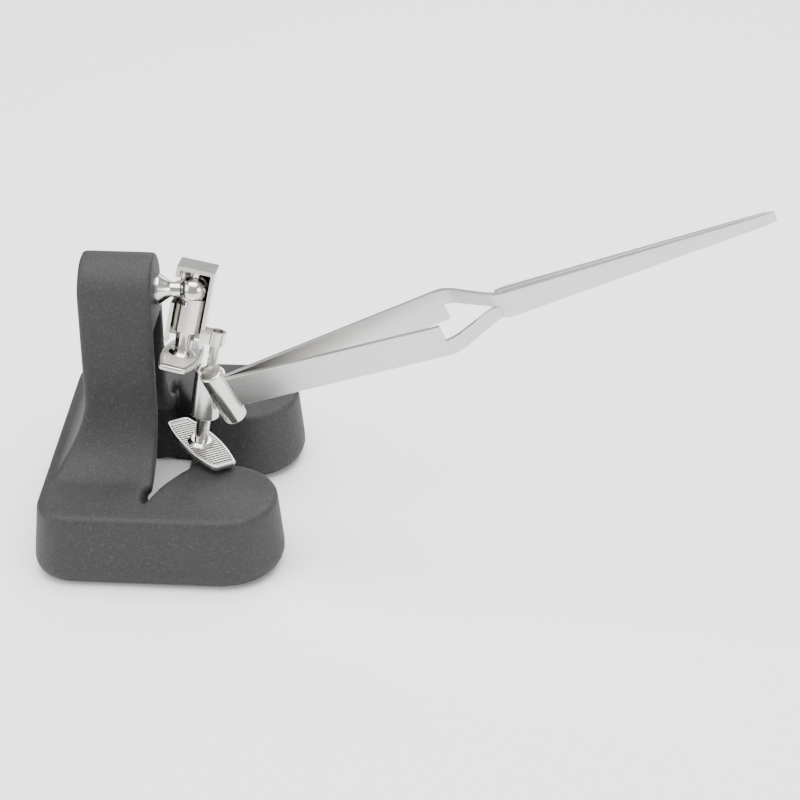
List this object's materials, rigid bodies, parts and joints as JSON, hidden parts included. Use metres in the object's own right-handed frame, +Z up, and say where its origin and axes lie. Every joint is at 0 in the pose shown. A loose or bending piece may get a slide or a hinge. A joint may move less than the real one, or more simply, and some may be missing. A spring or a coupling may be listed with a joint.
{
  "type": "soldering third hand",
  "caption": "Bench holder with spring cross-lock tweezers on a double-jointed swivel arm with ribbed thumb screws, standing on a heavy cast base.",
  "frame": {"origin": "on the base's flat underside, on the bar behind the column and half-way across the width", "axes": "+X from the column towards the tweezers' tips, +Y to the left seen from behind the column, +Z up"},
  "size_m": [0.2019, 0.0894, 0.1049],
  "materials": {
    "cast_base": "black wrinkle paint over cast iron",
    "nickel_plate": "polished nickel plate",
    "tweezers_steel": "satin stainless steel"
  },
  "bodies": {
    "base": {"base_casting": "cast_base"},
    "upper_stud": {"column_stud": "nickel_plate"},
    "upper_clamp": {"upper_cage": "nickel_plate", "upper_barrel_nut": "nickel_plate"},
    "upper_screw": {"upper_thumb_screw": "nickel_plate", "upper_plate_collar": "nickel_plate", "upper_thumb_plate": "nickel_plate", "upper_pressure_pad": "nickel_plate"},
    "lower_stud": {"lower_ball_stud": "nickel_plate"},
    "lower_clamp": {"lower_socket": "nickel_plate", "lower_socket_plug": "nickel_plate", "tweezers_holder": "nickel_plate", "tweezers_rear_joint": "tweezers_steel"},
    "lower_screw": {"lower_thumb_screw": "nickel_plate", "lower_plate_collar": "nickel_plate", "lower_thumb_plate": "nickel_plate", "lower_pressure_pad": "nickel_plate"},
    "near_arm": {"near_arm": "tweezers_steel"},
    "far_arm": {"far_arm": "tweezers_steel"}
  },
  "joints": [
    {"name": "arm_swing", "type": "hinge", "parent": "base", "child": "upper_stud", "pos_m": [0.0334, 0, 0.0712], "axis": [1, 0, 0], "range_deg": [-18, 45]},
    {"name": "arm_tilt", "type": "hinge", "parent": "upper_stud", "child": "upper_clamp", "pos_m": [0.0334, 0, 0.0712], "axis": [0, 0.9789, -0.2045], "range_deg": [-24, 2]},
    {"name": "upper_screw_turn", "type": "hinge", "parent": "upper_clamp", "child": "upper_screw", "pos_m": [0.0334, 0, 0.0712], "axis": [0.1908, 0.2007, 0.9609], "range_deg": [-8, 16]},
    {"name": "elbow_spin", "type": "hinge", "parent": "upper_clamp", "child": "lower_stud", "pos_m": [0.03783, -0.00704, 0.04775], "axis": [0.1908, 0.2007, 0.9609], "range_deg": [-20, 20]},
    {"name": "elbow_tilt", "type": "hinge", "parent": "lower_stud", "child": "lower_clamp", "pos_m": [0.03783, -0.00704, 0.04775], "axis": [0, 0.9998, -0.0209], "range_deg": [-12, 5]},
    {"name": "lower_screw_turn", "type": "hinge", "parent": "lower_clamp", "child": "lower_screw", "pos_m": [0.03783, -0.00704, 0.04775], "axis": [0.1564, 0.0207, 0.9875], "range_deg": [-60, 30]},
    {"name": "near_arm_squeeze", "type": "hinge", "parent": "lower_clamp", "child": "near_arm", "pos_m": [0.04534, -0.01249, 0.04685], "axis": [-0.3483, -0.1831, 0.9193], "range_deg": [0, 2.2], "stiffness_Nm_per_rad": 4, "springref_deg": -1.15},
    {"name": "far_arm_squeeze", "type": "hinge", "parent": "lower_clamp", "child": "far_arm", "pos_m": [0.04534, -0.01249, 0.04685], "axis": [-0.3483, -0.1831, 0.9193], "range_deg": [-2.2, 0], "stiffness_Nm_per_rad": 4, "springref_deg": 1.15}
  ],
  "couplings": [
    {"joint": "far_arm_squeeze", "follows": "near_arm_squeeze", "ratio": -1}
  ]
}
